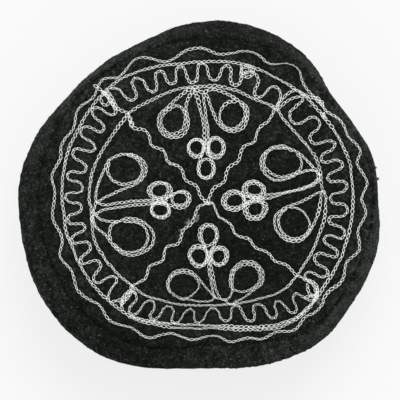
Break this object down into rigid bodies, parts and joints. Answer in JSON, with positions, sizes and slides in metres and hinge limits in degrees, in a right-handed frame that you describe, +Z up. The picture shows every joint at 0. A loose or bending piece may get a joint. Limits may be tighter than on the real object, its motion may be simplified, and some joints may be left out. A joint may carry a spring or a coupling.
{
  "type": "pakol hat",
  "caption": "Soft round wool felt hat with a flat embroidered crown, a drooping sewn margin and a rolled-up side that fits round the head.",
  "frame": {"origin": "middle of the hat's outline in plan, on the surface that it stands on", "axes": "+Z up through the crown, +X the long way across the crown, +Y the short way"},
  "size_m": [0.2593, 0.2499, 0.0655],
  "materials": {
    "black_felt": "matt fulled wool with a short nap and a few pale coarse hairs",
    "white_thread": "soft twisted white cotton embroidery thread",
    "black_thread": "matt black sewing thread"
  },
  "bodies": {
    "root": {"crown": "black_felt", "rolled_side": "black_felt"}
  },
  "joints": []
}
